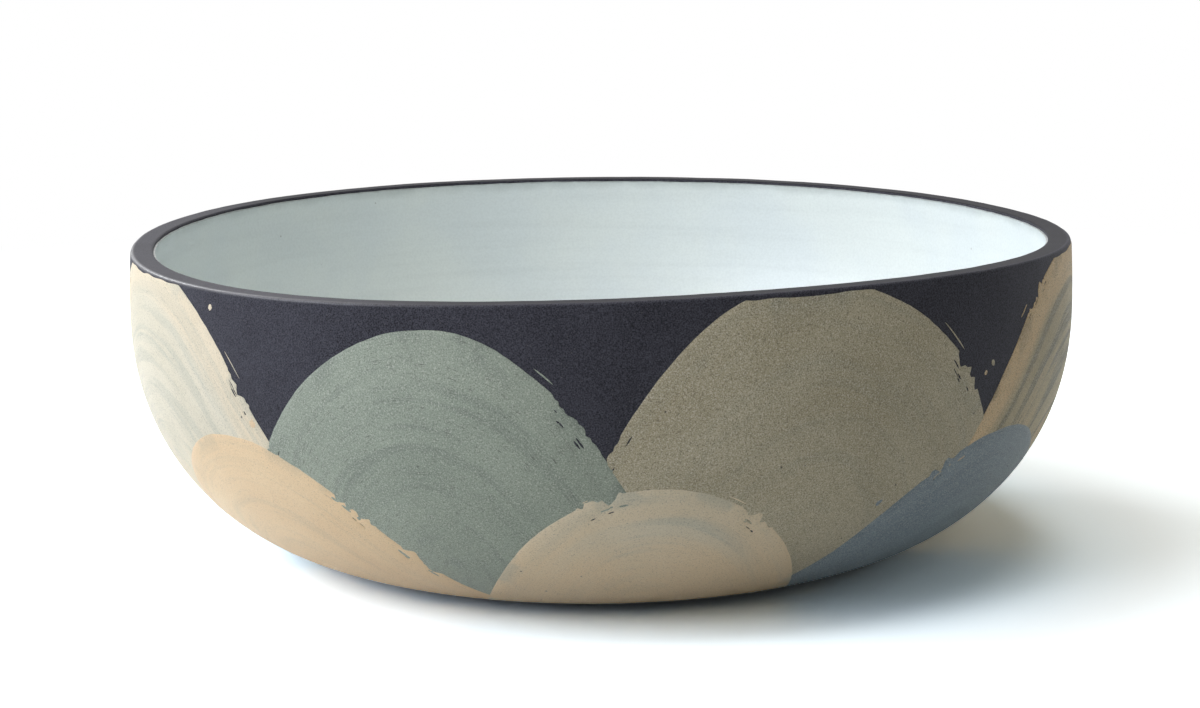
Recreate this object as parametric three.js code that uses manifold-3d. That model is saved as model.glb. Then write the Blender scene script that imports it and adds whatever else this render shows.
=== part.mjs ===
// A wide stoneware bowl with no foot ring: a dark clay body, a pale glaze lining the inside,
// and broad rounded coats of coloured slip laid over one another on the outside like low hills.
// Millimetres, +Z up, origin at the centre of the base. Azimuth 0 is the front (-Y), turning towards +X.
import * as THREE from 'three';
import { mergeVertices } from 'three/addons/utils/BufferGeometryUtils.js';
import Module from 'manifold-3d';

const wasm = await Module();
wasm.setup();

// Driving sizes of the thrown body
const rimRadius = 114.8;
const height = 77.4;
const shoulderHeight = 62;
const baseRadius = 51.2;
const wallFullness = 2.17;
const rimLeanIn = 0.5;
const wallThickness = 6;
const floorThickness = 7;
const floorCoveRun = 8;
const standingRingWidth = 14;
const undersideRecess = 1.2;
const recessSlopeRun = 2.4;

// The lip, which is flat on top with a slightly softer edge outside than inside
const lipThickness = 5.4;
const lipOuterRounding = 0.8;
const lipInnerRounding = 0.6;
const lipTaperStart = 0.75;

// Unevenness of the hand-finished rim: two high and two low places, and a smaller wave of three
const rimSaddle = 1;
const rimSaddleAzimuth = 28;
const rimWave = 0.38;
const rimWaveAzimuth = 18;

// Coats
const glazeThickness = 0.8;
const glazeLineBelowRim = 0.9;
const slipThickness = 0.6;
const slipLineAboveBase = 2.4;
const slipLineBelowRim = 1.1;
const bondGap = 0.3;
const coatGap = 0.3;

// How finely the turned faces are cut
const turnSteps = 48;
const curveSteps = 8;
const uprightSteps = 3;
const roundingSteps = 2;
const ovalSteps = 14;

const clay = { color: 0x2f2c31, roughness: 0.62, metalness: 0 };
const linerGlaze = { color: 0xd9e4e2, roughness: 0.18, metalness: 0 };
const slips = {
  sand: { color: 0xd8c09a, roughness: 0.6, metalness: 0 },
  sage: { color: 0x9aa598, roughness: 0.6, metalness: 0 },
  taupe: { color: 0xa39a88, roughness: 0.6, metalness: 0 },
  khaki: { color: 0x8b7f66, roughness: 0.6, metalness: 0 },
  peach: { color: 0xd0aa78, roughness: 0.6, metalness: 0 },
  blue: { color: 0x69737e, roughness: 0.6, metalness: 0 },
};

// Slip coats in the order they are laid, so a later one covers an earlier one: in each row every
// second coat first, then those between them. The tall row reaches nearly to the rim, and the low row
// fills the spaces between its feet. Width and rise are shares of the row's own half width and top.
const tallRow = {
  halfWidth: 52,
  top: 76,
  centreHeight: 14,
  coats: [
    { slip: 'taupe', azimuth: 24, width: 1, rise: 1.04 },
    { slip: 'sand', azimuth: -66, width: 1.06, rise: 1.06 },
    { slip: 'sage', azimuth: 126, width: 1, rise: 0.96 },
    { slip: 'sage', azimuth: -20, width: 0.88, rise: 0.94 },
    { slip: 'khaki', azimuth: 74, width: 1.08, rise: 1.05 },
    { slip: 'taupe', azimuth: -122, width: 1.05, rise: 1 },
    { slip: 'sand', azimuth: 176, width: 1.05, rise: 1.02 },
  ],
};
const lowRow = {
  halfWidth: 34,
  top: 41,
  centreHeight: 4,
  coats: [
    { slip: 'peach', azimuth: -46, width: 1.15, rise: 1.06 },
    { slip: 'blue', azimuth: 54, width: 1.2, rise: 1 },
    { slip: 'khaki', azimuth: 150, width: 1.1, rise: 1.05 },
    { slip: 'sand', azimuth: 6, width: 0.98, rise: 0.9 },
    { slip: 'peach', azimuth: 101, width: 1, rise: 0.88 },
    { slip: 'blue', azimuth: -155, width: 1.1, rise: 0.95 },
    { slip: 'sage', azimuth: -98, width: 1.12, rise: 1 },
  ],
};

const radians = THREE.MathUtils.degToRad;

// Wall curve from the edge of the base up to the rim: a full round, then a short upright part.
function outerWall() {
  const points = [];
  for (let i = 0; i <= curveSteps; i++) {
    const turn = (i / curveSteps) * Math.PI / 2;
    points.push(new THREE.Vector2(
      baseRadius + (rimRadius - baseRadius) * Math.sin(turn) ** (2 / wallFullness),
      shoulderHeight * (1 - Math.cos(turn) ** (2 / wallFullness)),
    ));
  }
  for (let i = 1; i <= uprightSteps; i++) {
    const share = i / uprightSteps;
    points.push(new THREE.Vector2(
      rimRadius - rimLeanIn * share ** 2,
      shoulderHeight + (height - shoulderHeight) * share,
    ));
  }
  return points;
}

// A wall curve moved sideways by a distance that may change with the share of its points passed;
// positive is outwards.
function offsetCurve(points, distanceAt) {
  return points.map((point, i) => {
    const before = points[Math.max(i - 1, 0)];
    const after = points[Math.min(i + 1, points.length - 1)];
    const along = after.clone().sub(before).normalize();
    const distance = distanceAt(i / (points.length - 1));
    return new THREE.Vector2(point.x + along.y * distance, point.y - along.x * distance);
  });
}

// The part of a rising curve between two heights, with its ends cut exactly there.
function between(points, low, high) {
  const at = (a, b, z) => new THREE.Vector2(a.x + (b.x - a.x) * (z - a.y) / (b.y - a.y), z);
  const kept = [];
  for (let i = 0; i < points.length - 1; i++) {
    const [a, b] = [points[i], points[i + 1]];
    if (a.y < low && b.y > low) kept.push(at(a, b, low));
    if (a.y >= low && a.y <= high) kept.push(a);
    if (a.y < high && b.y > high) kept.push(at(a, b, high));
  }
  const last = points[points.length - 1];
  if (last.y <= high) kept.push(last);
  return kept;
}

// A quarter round of a profile, turned anticlockwise from a first direction given in degrees.
function quarterRound(x, y, radius, first) {
  const points = [];
  for (let i = 0; i <= roundingSteps; i++) {
    const angle = radians(first + 90 * i / roundingSteps);
    points.push(new THREE.Vector2(x + radius * Math.cos(angle), y + radius * Math.sin(angle)));
  }
  return points;
}

// The rim isn't level: every piece rises and falls with it, more towards the top.
function followRim(geometry) {
  const position = geometry.getAttribute('position');
  for (let i = 0; i < position.count; i++) {
    const azimuth = Math.atan2(position.getX(i), -position.getY(i));
    const lift = rimSaddle * Math.cos(2 * (azimuth - radians(rimSaddleAzimuth)))
      + rimWave * Math.cos(3 * (azimuth - radians(rimWaveAzimuth)));
    const z = position.getZ(i);
    position.setZ(i, z + lift * Math.max(z / height, 0) ** 3);
  }
  return geometry;
}

// A profile of radius and height turned about the vertical axis.
function turned(profile) {
  const geometry = new THREE.LatheGeometry(profile, turnSteps);
  geometry.rotateX(Math.PI / 2);
  return geometry;
}

function weld(geometry) {
  const bare = geometry.clone();
  bare.deleteAttribute('normal');
  bare.deleteAttribute('uv');
  return mergeVertices(bare, 1e-4);
}

function toSolid(geometry) {
  const welded = weld(geometry);
  return new wasm.Manifold(new wasm.Mesh({
    numProp: 3,
    vertProperties: new Float32Array(welded.getAttribute('position').array),
    triVerts: new Uint32Array(welded.index.array),
  }));
}

function toGeometry(solid) {
  const mesh = solid.getMesh();
  const geometry = new THREE.BufferGeometry();
  geometry.setAttribute('position', new THREE.BufferAttribute(new Float32Array(mesh.vertProperties), 3));
  geometry.setIndex(new THREE.BufferAttribute(new Uint32Array(mesh.triVerts), 1));
  geometry.computeVertexNormals();
  return geometry;
}

const wall = outerWall();
const rim = wall[wall.length - 1];

// Inside of the clay: the wall curve moved in by the clay's thickness, which thins towards the lip.
// It stops where it comes down to the cove round the floor.
function innerWall() {
  const inside = offsetCurve(wall, (share) => {
    const thinning = Math.max((share - lipTaperStart) / (1 - lipTaperStart), 0);
    return -THREE.MathUtils.lerp(wallThickness, lipThickness, thinning);
  });
  return inside.filter((point) => point.y > floorThickness);
}

function clayBody() {
  const ringInner = baseRadius - standingRingWidth;
  const inside = innerWall();
  return turned([
    new THREE.Vector2(0, undersideRecess),
    new THREE.Vector2(ringInner - recessSlopeRun, undersideRecess),
    new THREE.Vector2(ringInner, 0),
    ...wall.slice(0, -1),
    ...quarterRound(rim.x - lipOuterRounding, rim.y - lipOuterRounding, lipOuterRounding, 0),
    ...quarterRound(rim.x - lipThickness + lipInnerRounding, rim.y - lipInnerRounding, lipInnerRounding, 90),
    ...inside.slice(0, -1).reverse(),
    new THREE.Vector2(inside[0].x - floorCoveRun, floorThickness),
    new THREE.Vector2(0, floorThickness),
  ]);
}

// A skin on a curve between two distances from it, closed all round.
function skinProfile(points, near, far) {
  const inner = offsetCurve(points, () => near);
  const outer = offsetCurve(points, () => far);
  return [...outer, ...inner.reverse(), outer[0].clone()];
}

function glazeLining() {
  const inside = innerWall();
  const floorRadius = inside[0].x - floorCoveRun;
  inside[inside.length - 1].set(rim.x - lipThickness, rim.y - glazeLineBelowRim);
  const clayFace = [new THREE.Vector2(floorRadius, floorThickness), ...inside];
  const back = offsetCurve(clayFace, () => -bondGap);
  const front = offsetCurve(clayFace, () => -bondGap - glazeThickness);
  back[0].set(floorRadius, floorThickness + bondGap);
  front[0].set(floorRadius, floorThickness + bondGap + glazeThickness);
  return turned([
    new THREE.Vector2(0, back[0].y),
    ...back,
    ...front.reverse(),
    new THREE.Vector2(0, front[front.length - 1].y),
  ]);
}

const slipBand = between(wall, slipLineAboveBase, height - slipLineBelowRim);
const slipSkin = toSolid(turned(skinProfile(slipBand, bondGap, bondGap + slipThickness)));

// A radial prism of oval section, which cuts one rounded coat out of the slip skin.
function ovalCutter({ azimuth, halfWidth, top, centreHeight }, grow) {
  const oval = new THREE.Shape();
  oval.absellipse(0, centreHeight, halfWidth + grow, top - centreHeight + grow, 0, 2 * Math.PI);
  const pastSkin = rimRadius + bondGap + 2 * slipThickness;
  const geometry = new THREE.ExtrudeGeometry(oval, {
    depth: pastSkin, bevelEnabled: false, curveSegments: ovalSteps,
  });
  geometry.rotateX(Math.PI / 2);
  geometry.rotateZ(radians(azimuth));
  return toSolid(geometry);
}

function coatsOf(rowName, { halfWidth, top, centreHeight, coats }) {
  return coats.map(({ slip, azimuth, width, rise }, i) => ({
    name: `slip_${rowName}_${i + 1}_${slip}`,
    slip,
    azimuth,
    centreHeight,
    halfWidth: halfWidth * width,
    top: top * rise,
  }));
}

// Each coat loses the area that the coats laid after it cover.
function slipCoats() {
  const coats = [...coatsOf('tall', tallRow), ...coatsOf('low', lowRow)];
  return coats.map((coat, i) => {
    let solid = slipSkin.intersect(ovalCutter(coat, 0));
    for (const later of coats.slice(i + 1)) {
      solid = solid.subtract(ovalCutter(later, coatGap));
    }
    return { ...coat, geometry: toGeometry(solid) };
  });
}

const bowl = new THREE.Group();

function addPiece(name, geometry, finish) {
  const mesh = new THREE.Mesh(followRim(geometry), new THREE.MeshStandardMaterial(finish));
  mesh.name = name;
  bowl.add(mesh);
}

addPiece('clay_body', weld(clayBody()), clay);
addPiece('liner_glaze', weld(glazeLining()), linerGlaze);
for (const coat of slipCoats()) {
  addPiece(coat.name, coat.geometry, slips[coat.slip]);
}

export default bowl;
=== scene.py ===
"""Looks of a wide stoneware bowl: dark clay, a pale glazed inside and rounded coats of brushed slip.

Lengths are in metres. Azimuth 0 is the front of the bowl (-Y) and turns towards +X.
"""
import logging
import math
from dataclasses import dataclass, field
from enum import Enum
from functools import cached_property
from typing import Any, Sequence

import bpy
import numpy as np
from mathutils import Matrix, Vector
from mathutils.geometry import delaunay_2d_cdt
from mathutils.kdtree import KDTree


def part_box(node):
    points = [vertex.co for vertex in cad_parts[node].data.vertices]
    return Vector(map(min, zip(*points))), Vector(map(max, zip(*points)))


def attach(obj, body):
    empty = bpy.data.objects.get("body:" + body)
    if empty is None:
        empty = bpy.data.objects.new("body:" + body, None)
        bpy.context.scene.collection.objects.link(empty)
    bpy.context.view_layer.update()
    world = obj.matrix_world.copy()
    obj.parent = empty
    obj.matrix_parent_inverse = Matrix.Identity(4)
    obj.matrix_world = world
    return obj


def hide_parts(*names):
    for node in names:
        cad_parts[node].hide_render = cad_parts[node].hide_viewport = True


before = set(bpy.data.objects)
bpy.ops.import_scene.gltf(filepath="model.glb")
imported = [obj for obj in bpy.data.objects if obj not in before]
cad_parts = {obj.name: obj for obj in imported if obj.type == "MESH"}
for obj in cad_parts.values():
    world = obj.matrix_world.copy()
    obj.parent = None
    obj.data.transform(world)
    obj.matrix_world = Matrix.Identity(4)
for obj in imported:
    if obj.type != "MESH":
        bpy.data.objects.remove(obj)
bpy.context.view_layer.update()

log = logging.getLogger("bowl")
MM = 0.001
FULL_TURN = 2 * math.pi

Colour = tuple[float, float, float]
Band = tuple[float, float]


def srgb(red: int, green: int, blue: int) -> Colour:
    """Turns a colour written as 0 to 255 into the linear colour that shaders take.

    Args:
        red: its red channel.
        green: its green channel.
        blue: its blue channel.

    Returns:
        The linear colour.
    """
    def linear(channel: int) -> float:
        """One channel, from its screen value to a linear one."""
        share = channel / 255
        return share / 12.92 if share <= 0.04045 else ((share + 0.055) / 1.055) ** 2.4

    return linear(red), linear(green), linear(blue)


def eased(share: np.ndarray) -> np.ndarray:
    """A share from 0 to 1 that starts and ends softly."""
    return share * share * (3 - 2 * share)


class Value:
    """A number that changes over a surface: a socket that can be used in Python expressions."""

    def __init__(self, graph: "Graph", socket: bpy.types.NodeSocket) -> None:
        """Wraps a socket of a graph."""
        self.graph = graph
        self.socket = socket

    def _math(self, operation: str, *terms: Any) -> "Value":
        """Adds a Math node for an operation on some terms."""
        node = self.graph.add("ShaderNodeMath", {"operation": operation}, dict(enumerate(terms)))
        return Value(self.graph, node.outputs[0])

    def __add__(self, other: Any) -> "Value":
        """Sum."""
        return self._math("ADD", self, other)

    def __radd__(self, other: Any) -> "Value":
        """Sum with a plain number first."""
        return self._math("ADD", other, self)

    def __sub__(self, other: Any) -> "Value":
        """Difference."""
        return self._math("SUBTRACT", self, other)

    def __rsub__(self, other: Any) -> "Value":
        """Difference from a plain number."""
        return self._math("SUBTRACT", other, self)

    def __mul__(self, other: Any) -> "Value":
        """Product."""
        return self._math("MULTIPLY", self, other)

    def __truediv__(self, other: Any) -> "Value":
        """Quotient."""
        return self._math("DIVIDE", self, other)

    def root(self) -> "Value":
        """Square root."""
        return self._math("SQRT", self)

    def angle_to(self, other: "Value") -> "Value":
        """Angle whose tangent is this value over another."""
        return self._math("ARCTAN2", self, other)

    def cosine(self) -> "Value":
        """Cosine of an angle."""
        return self._math("COSINE", self)

    def step(self, low: float, high: float) -> "Value":
        """Rises smoothly between two values.

        Args:
            low: where it is 0.
            high: where it is 1; it may be less than low.

        Returns:
            The risen share.
        """
        rising = low < high
        ends = (low, high) if rising else (high, low)
        node = self.graph.add(
            "ShaderNodeMapRange",
            {"interpolation_type": "SMOOTHSTEP"},
            {"Value": self, "From Min": ends[0], "From Max": ends[1]},
        )
        risen = Value(self.graph, node.outputs["Result"])
        return risen if rising else 1 - risen


@dataclass(frozen=True)
class Specks:
    """Small specks: their colour, their cells' spacing, the share of cells that hold one, and strength."""

    colour: Colour
    spacing: float
    share: float
    strength: float


class Graph:
    """The node tree of one material or world."""

    speck_rim = (0.26, 0.14)
    speck_choice = 0.9

    def __init__(self, owner: bpy.types.Material | bpy.types.World) -> None:
        """Clears the owner's node tree, ready for new nodes.

        Args:
            owner: the material or world.
        """
        owner.use_nodes = True
        self.tree = owner.node_tree
        self.tree.nodes.clear()

    def add(
        self,
        kind: str,
        settings: dict[str, Any] | None = None,
        inputs: dict[Any, Any] | None = None,
    ) -> bpy.types.Node:
        """Adds one node.

        Args:
            kind: Blender's type name of the node.
            settings: its properties.
            inputs: what goes into its sockets, by name or number: a Value, a socket or a constant.

        Returns:
            The node.
        """
        node = self.tree.nodes.new(kind)
        for name, setting in (settings or {}).items():
            setattr(node, name, setting)
        for name, given in (inputs or {}).items():
            socket = node.inputs[name]
            if isinstance(given, Value):
                given = given.socket
            if isinstance(given, bpy.types.NodeSocket):
                self.tree.links.new(given, socket)
            elif socket.type == "RGBA" and len(given) == 3:
                socket.default_value = (*given, 1)
            else:
                socket.default_value = given
        return node

    def position(self) -> bpy.types.NodeSocket:
        """Adds the nodes that tell where on the object a surface is looked at.

        Returns:
            The point, in millimetres.
        """
        coordinates = self.add("ShaderNodeTexCoord")
        scaled = self.add(
            "ShaderNodeVectorMath",
            {"operation": "SCALE"},
            {"Vector": coordinates.outputs["Object"], "Scale": 1 / MM},
        )
        return scaled.outputs["Vector"]

    def axis(self, point: bpy.types.NodeSocket, direction: Sequence[float]) -> Value:
        """How far a point lies along a direction."""
        node = self.add(
            "ShaderNodeVectorMath", {"operation": "DOT_PRODUCT"}, {0: point, 1: tuple(direction)}
        )
        return Value(self, node.outputs["Value"])

    def radius(self, point: bpy.types.NodeSocket) -> Value:
        """Distance of a point from the bowl's axis."""
        x, y = self.axis(point, (1, 0, 0)), self.axis(point, (0, 1, 0))
        return (x * x + y * y).root()

    def azimuth(self, point: bpy.types.NodeSocket) -> Value:
        """Direction of a point as seen from the bowl's axis."""
        return self.axis(point, (1, 0, 0)).angle_to(self.axis(point, (0, -1, 0)))

    def vector(self, x: Any, y: Any, z: Any) -> bpy.types.NodeSocket:
        """A vector of three values."""
        return self.add("ShaderNodeCombineXYZ", None, {0: x, 1: y, 2: z}).outputs["Vector"]

    def noise(self, point: bpy.types.NodeSocket, size: float, detail: float = 2) -> Value:
        """Soft noise whose blotches are about size across, in the point's own unit."""
        node = self.add(
            "ShaderNodeTexNoise", None, {"Vector": point, "Scale": 1 / size, "Detail": detail}
        )
        return Value(self, node.outputs["Fac"])

    def speckled(
        self, colour: bpy.types.NodeSocket, point: bpy.types.NodeSocket, specks: Specks
    ) -> bpy.types.NodeSocket:
        """Adds small round specks to a colour.

        Args:
            colour: the colour between the specks.
            point: where on the surface.
            specks: how the specks look.

        Returns:
            The speckled colour.
        """
        cells = self.add("ShaderNodeTexVoronoi", None, {"Vector": point, "Scale": 1 / specks.spacing})
        chosen = self.add("ShaderNodeSeparateColor", None, {0: cells.outputs["Color"]})
        near = Value(self, cells.outputs["Distance"]).step(*self.speck_rim)
        held = Value(self, chosen.outputs[0]).step(1 - specks.share, 1 - specks.share * self.speck_choice)
        return self.mix(colour, specks.colour, near * held * specks.strength)

    def mix(self, first: Any, second: Any, share: Any) -> bpy.types.NodeSocket:
        """A colour between two others."""
        node = self.add(
            "ShaderNodeMix", {"data_type": "RGBA"}, {0: share, 6: first, 7: second}
        )
        return node.outputs[2]

    def bump(self, height: Value, depth: float) -> bpy.types.NodeSocket:
        """A relief from a height of 0 to 1 that stands depth metres high."""
        node = self.add("ShaderNodeBump", None, {"Height": height, "Distance": depth})
        return node.outputs["Normal"]

    def surface(self, inputs: dict[str, Any]) -> None:
        """Ends a material with a Principled shader of these sockets."""
        shader = self.add("ShaderNodeBsdfPrincipled", None, inputs)
        self.add("ShaderNodeOutputMaterial", None, {"Surface": shader.outputs["BSDF"]})


def new_material(name: str) -> tuple[bpy.types.Material, Graph]:
    """An empty material and its graph."""
    material = bpy.data.materials.new(name)
    return material, Graph(material)


@dataclass(frozen=True)
class ClayFinish:
    """Bare fired clay: charcoal, sanded matt; on the lit side the lip has a painted sheen and a glossier
    edge, elsewhere painted shade on its top.

    Sizes are in millimetres, and so are the bands below the rim and inwards from it. A band runs from
    where a thing isn't to where it is whole.
    """

    dark: Colour = srgb(28, 28, 33)
    light: Colour = srgb(82, 82, 91)
    # Painted sheen: the paler tone of the lip on its lit side.
    painted_sheen: Colour = srgb(92, 91, 94)
    # Painted shade: the darker tone of the lip's top away from its lit side.
    painted_lip_shade: Colour = srgb(26, 25, 29)
    specks: Sequence[Specks] = (
        Specks(srgb(104, 101, 102), 0.7, 0.1, 0.5),
        Specks(srgb(28, 27, 29), 0.9, 0.1, 0.7),
    )
    cloud_size: float = 14
    cloud_band: Band = (0.3, 0.7)
    cloud_share: float = 0.15
    grain_size: float = 0.3
    grain_band: Band = (0.25, 0.75)
    grain_share: float = 0.85
    edge_below: Band = (0.9, 0.3)
    edge_inwards: Band = (1.1, 0.4)
    top_below: Band = (0.4, 0.15)
    top_inwards: Band = (0.6, 1.2)
    # The lip's lit side, facing the lamps: it sets where the sheen is painted and where the painted shade
    # stops.
    lit_side_azimuth: float = math.radians(-72)
    lit_side_cosine: Band = (0.5, 0.9)
    lip_shade_share: float = 0.8
    sheen_grain_band: Band = (0.3, 0.7)
    sheen_share: float = 0.4
    sheen_on_top: float = 0.6
    roughness: float = 0.56
    grain_roughness: float = 0.16
    shine: float = 0.08
    edge_gloss: float = 0.7
    edge_roughness: float = 0.34
    relief: float = 0.02 * MM

    def material(self, wall: "ThrownWall") -> bpy.types.Material:
        """Makes the material.

        Args:
            wall: the wall, along whose lip the sheen and the shade are painted.

        Returns:
            The material.
        """
        material, graph = new_material("bare_clay")
        point = graph.position()
        cloud = graph.noise(point, self.cloud_size, 4)
        grain = graph.noise(point, self.grain_size, 2)
        inwards = (wall.rim_radius - wall.lean_in) / MM - graph.radius(point)
        below = wall.below_rim(graph, point)
        # held marks the lip's lit side, facing the lamps.
        held = (graph.azimuth(point) - self.lit_side_azimuth).cosine().step(*self.lit_side_cosine)
        # The lip's outer edge on the lit side: the painted sheen and the glossier coat lie here.
        edge = below.step(*self.edge_below) * inwards.step(*self.edge_inwards) * held
        lip_top = below.step(*self.top_below) * inwards.step(*self.top_inwards)
        cloudy = cloud.step(*self.cloud_band) * self.cloud_share
        grainy = grain.step(*self.grain_band) * self.grain_share
        colour = graph.mix(self.dark, self.light, cloudy + grainy)
        # Painted shade: the lip's top is darkened everywhere but on the lit side.
        colour = graph.mix(colour, self.painted_lip_shade, lip_top * (1 - held) * self.lip_shade_share)
        # Painted sheen: the lip's outer edge and top are lightened on the lit side.
        sheen_in_grain = grain.step(*self.sheen_grain_band) * self.sheen_share + self.sheen_share
        colour = graph.mix(colour, self.painted_sheen, (edge + lip_top * held * self.sheen_on_top) * sheen_in_grain)
        for specks in self.specks:
            colour = graph.speckled(colour, point, specks)
        graph.surface({
            "Base Color": colour,
            "Roughness": self.roughness + (grain - 0.5) * self.grain_roughness,
            "Specular IOR Level": self.shine,
            "Coat Weight": edge * self.edge_gloss,
            "Coat Roughness": self.edge_roughness,
            "Normal": graph.bump(grain, self.relief),
        })
        return material


@dataclass(frozen=True)
class Fringe:
    """A darker band below the rim, with a wavering lower edge: clay showing through thin glaze, and in part
    painted shade under the lip.

    All but the colour and the strength are in millimetres.
    """

    colour: Colour
    blotch: float
    waver: float
    below: Band
    strength: float


@dataclass(frozen=True)
class GlazeFinish:
    """Pale glaze: a cool white that turns a little green where it lies thick.

    Sizes are in millimetres. The throwing rings change ring_across and ring_up times as fast per
    millimetre as plain noise does.
    """

    thick: Colour = srgb(232, 238, 235)
    thin: Colour = srgb(227, 234, 234)
    clay_through: Colour = srgb(146, 154, 152)
    # Bands darker towards the rim: in part clay through thin glaze, in part painted shade under the lip.
    fringes: Sequence[Fringe] = (
        Fringe(clay_through, 9, 3, (3.4, 0.4), 0.35),
        Fringe(srgb(84, 84, 86), 1.8, 0.7, (1.3, 0.2), 0.8),
    )
    specks: Specks = Specks(srgb(128, 124, 114), 1.6, 0.002, 0.6)
    cloud_size: float = 30
    cloud_band: Band = (0.35, 0.65)
    ring_across: float = 0.02
    ring_up: float = 0.35
    ring_band: Band = (0.42, 0.78)
    ring_thinning: float = 0.07
    fine_size: float = 0.6
    fine_band: Band = (0.3, 0.75)
    fine_thinning: float = 0.09
    roughness: float = 0.3
    fine_roughness: float = 0.1
    ring_roughness: float = 0.06
    shine: float = 0.5
    ring_relief: float = 0.8
    relief: float = 0.05 * MM

    def material(self, wall: "ThrownWall") -> bpy.types.Material:
        """Makes the material.

        Args:
            wall: the wall, below whose rim the glaze is darkened: clay showing through thin glaze, and in
                part painted shade under the lip.

        Returns:
            The material.
        """
        material, graph = new_material("pale_glaze")
        point = graph.position()
        cloud = graph.noise(point, self.cloud_size, 4)
        around = graph.vector(
            graph.axis(point, (self.ring_across, 0, 0)),
            graph.axis(point, (0, self.ring_across, 0)),
            graph.axis(point, (0, 0, 1)) * self.ring_up,
        )
        rings = graph.noise(around, 1, 3)
        fine = graph.noise(point, self.fine_size, 2)
        colour = graph.mix(self.thick, self.thin, cloud.step(*self.cloud_band))
        thinner = rings.step(*self.ring_band) * self.ring_thinning
        thinner = thinner + fine.step(*self.fine_band) * self.fine_thinning
        colour = graph.mix(colour, self.clay_through, thinner)
        below = wall.below_rim(graph, point)
        for fringe in self.fringes:
            stray = (graph.noise(point, fringe.blotch, 3) - 0.5) * fringe.waver
            shown = (below + stray).step(*fringe.below) * fringe.strength
            colour = graph.mix(colour, fringe.colour, shown)
        colour = graph.speckled(colour, point, self.specks)
        uneven = (fine - 0.5) * self.fine_roughness + rings * self.ring_roughness
        relief = rings * self.ring_relief + fine * (1 - self.ring_relief)
        graph.surface({
            "Base Color": colour,
            "Roughness": self.roughness + uneven,
            "Specular IOR Level": self.shine,
            "Normal": graph.bump(relief, self.relief),
        })
        return material


@dataclass(frozen=True)
class Brushing:
    """How one slip looks once it is brushed on.

    light and deep are its own two tones, thin is what shows where the bristles leave little of it,
    and gathered is its tone where it lies thick: in a band along the edge and towards the foot.
    streaks, band, foot, scratches and grain say how strongly each of these shows.
    """

    light: Colour
    deep: Colour
    thin: Colour
    gathered: Colour
    streaks: float
    band: float
    foot: float
    scratches: float = 0.2
    grain: float = 0.5
    roughness: float = 0.56


class Slip(Enum):
    """The slips that were used, each with its own way of brushing out."""

    SAND = Brushing(
        srgb(228, 221, 200), srgb(216, 209, 186), srgb(180, 182, 166), srgb(236, 211, 172),
        streaks=0.45, band=0.35, foot=0.9, grain=0.75,
    )
    SAGE = Brushing(
        srgb(154, 164, 149), srgb(142, 152, 138), srgb(110, 120, 111), srgb(158, 165, 149),
        streaks=0.42, band=0.1, foot=0.2, scratches=0.6, grain=0.95,
    )
    TAUPE = Brushing(
        srgb(187, 178, 151), srgb(172, 162, 134), srgb(139, 139, 124), srgb(184, 171, 140),
        streaks=0.2, band=0.15, foot=0.25, scratches=0.3, grain=1.3,
    )
    KHAKI = Brushing(
        srgb(188, 173, 137), srgb(170, 157, 123), srgb(98, 94, 75), srgb(222, 193, 148),
        streaks=0.95, band=0.9, foot=0.7, scratches=0.3, grain=1.2,
    )
    PEACH = Brushing(
        srgb(237, 211, 172), srgb(230, 201, 160), srgb(192, 178, 149), srgb(238, 208, 164),
        streaks=0.3, band=0.2, foot=0.4, grain=0.65,
    )
    BLUE = Brushing(
        srgb(136, 150, 158), srgb(122, 136, 145), srgb(98, 110, 118), srgb(138, 151, 158),
        streaks=0.3, band=0.15, foot=0.3, scratches=0.4, grain=1.1,
    )


def waver(
    rng: np.random.Generator, at: np.ndarray, length: float, wave: float, pointed: bool = False
) -> np.ndarray:
    """A random line that joins up with itself, between -1 and 1.

    Args:
        rng: where its random numbers come from.
        at: the places along the line.
        length: the length after which the line repeats.
        wave: the typical distance between its turns.
        pointed: whether it turns in sharp points; otherwise it is smooth.

    Returns:
        Its value at each place.
    """
    fewest_knots = 4
    knots = max(fewest_knots, round(length / wave))
    heights = rng.uniform(-1, 1, knots)
    scaled = np.asarray(at, float) / length * knots
    first = np.floor(scaled).astype(int)
    share = scaled - first
    if not pointed:
        share = eased(share)
    return heights[first % knots] * (1 - share) + heights[(first + 1) % knots] * share


def uneven_ring(
    rng: np.random.Generator, azimuth: np.ndarray, waves: Sequence[tuple[float, float]]
) -> np.ndarray:
    """A random line round the bowl.

    Args:
        rng: where its random numbers come from.
        azimuth: the places along the line.
        waves: pairs of a typical distance between turns, in radians, and its share of the line.

    Returns:
        Its value at each place, between -1 and 1.
    """
    return sum(waver(rng, azimuth, FULL_TURN, wave) * share for wave, share in waves)


@dataclass(frozen=True)
class Swell:
    """High places of the uneven rim: how many there are, their height and the azimuth of one."""

    count: int
    height: float
    azimuth: float


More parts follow.
